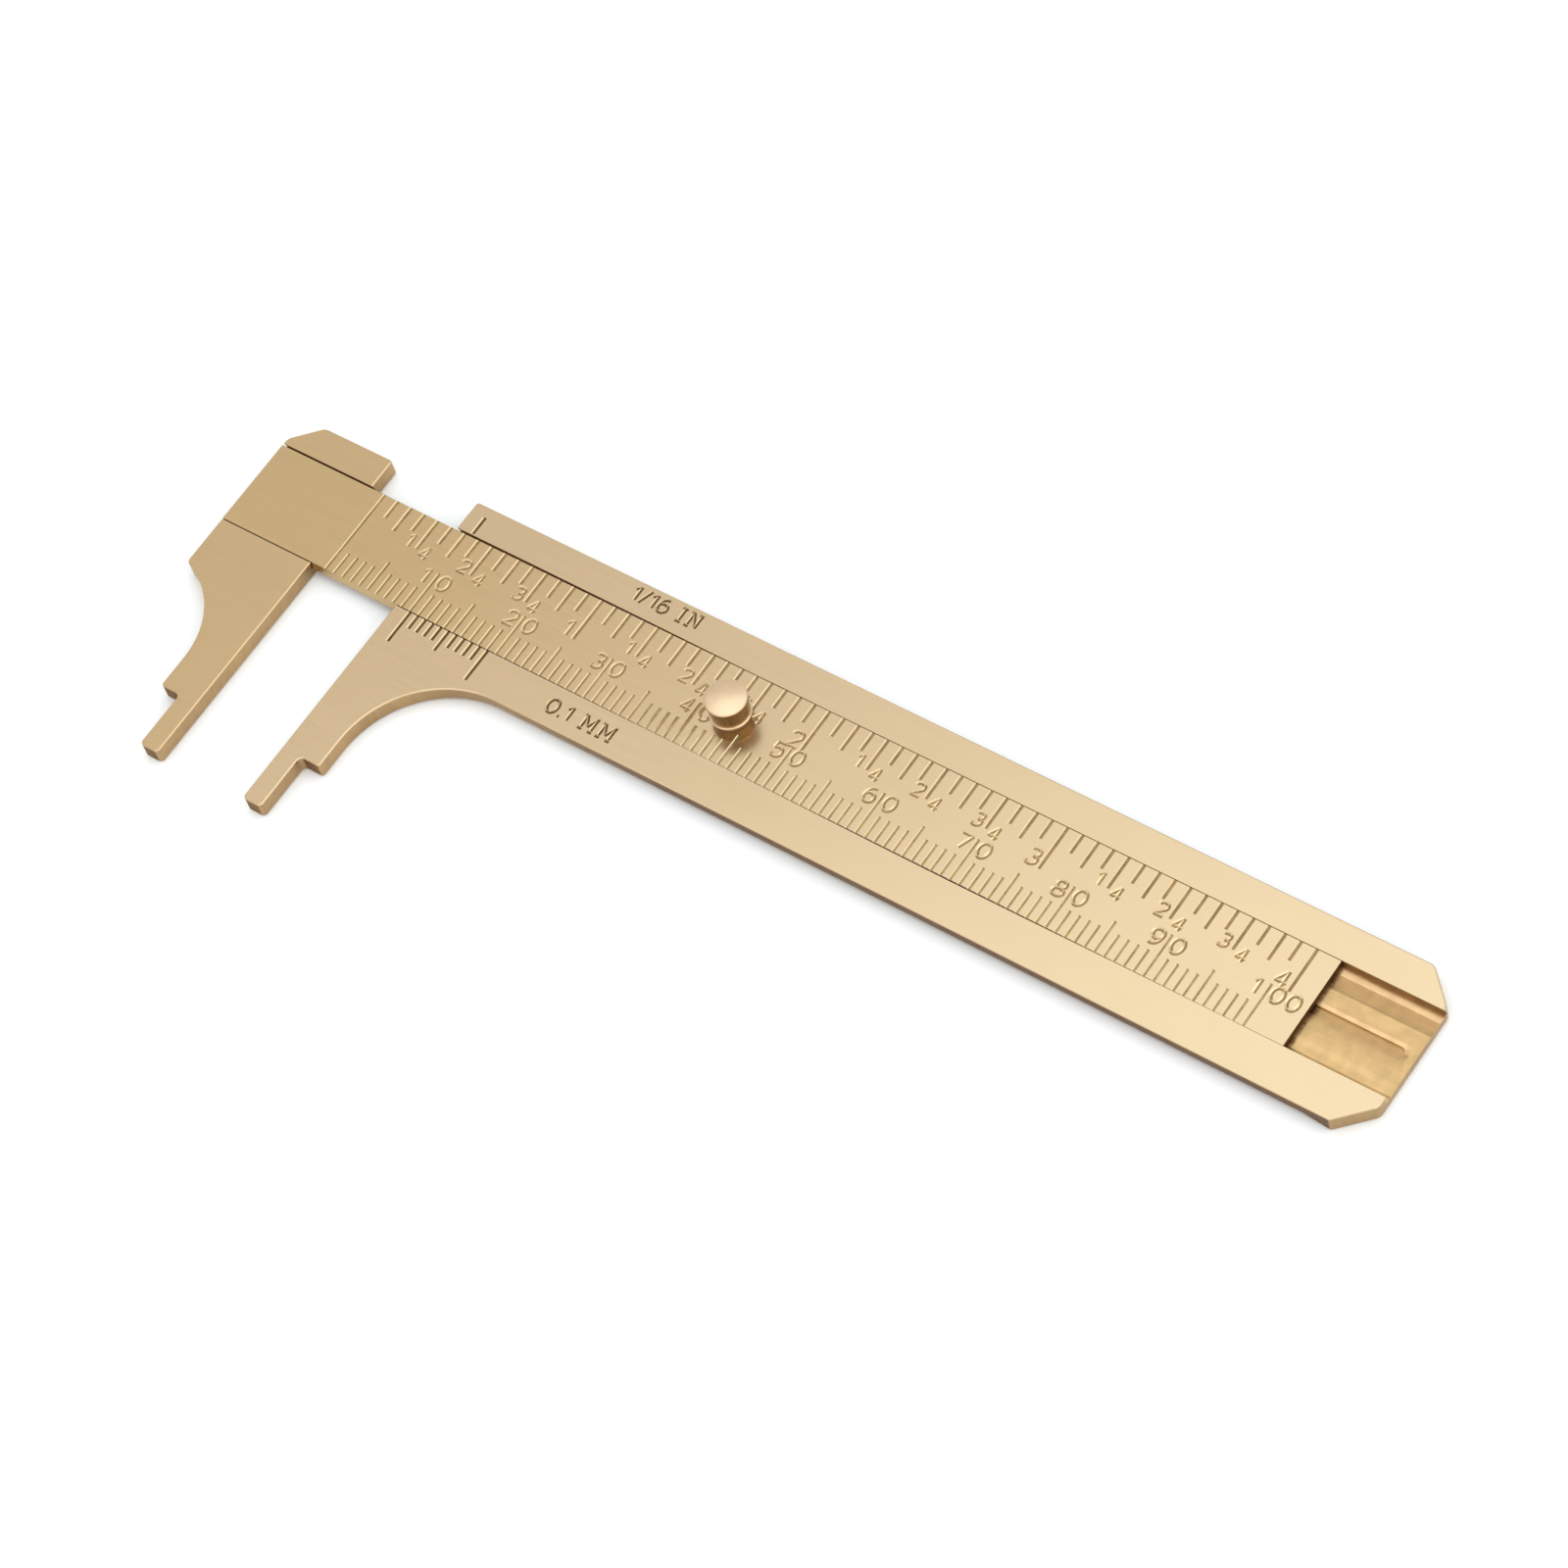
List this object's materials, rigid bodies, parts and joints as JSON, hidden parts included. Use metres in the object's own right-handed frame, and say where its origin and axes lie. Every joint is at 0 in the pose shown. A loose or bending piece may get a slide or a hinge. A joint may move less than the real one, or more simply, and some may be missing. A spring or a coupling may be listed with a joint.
{
  "type": "sliding gauge",
  "caption": "Flat brass pocket vernier caliper with a dovetail rule that slides in a channel bar, stepped narrow jaws, metric and inch scales and a round thumb knob.",
  "frame": {"origin": "on the back face, under the vernier's zero line, on the centreline of the rule", "axes": "+X along the bar from the jaws to its far end, +Y away from the jaw tips, +Z out of the graduated face"},
  "size_m": [0.1265, 0.0363, 0.0053],
  "materials": {
    "bar_brass": "satin",
    "rule_brass": "satin",
    "knob_brass": "polished",
    "pin_brass": "turned"
  },
  "bodies": {
    "bar": {"beam": "bar_brass"},
    "slide": {"rule_strip": "rule_brass", "moving_jaw": "bar_brass", "jaw_rivets": "pin_brass", "thumb_knob": "knob_brass", "knob_collar": "knob_brass", "stop_pin": "pin_brass"}
  },
  "joints": [
    {"name": "rule_slide", "type": "slide", "parent": "bar", "child": "slide", "axis": [-1, 0, 0], "range_m": [-0.0101, 0.0899]}
  ]
}
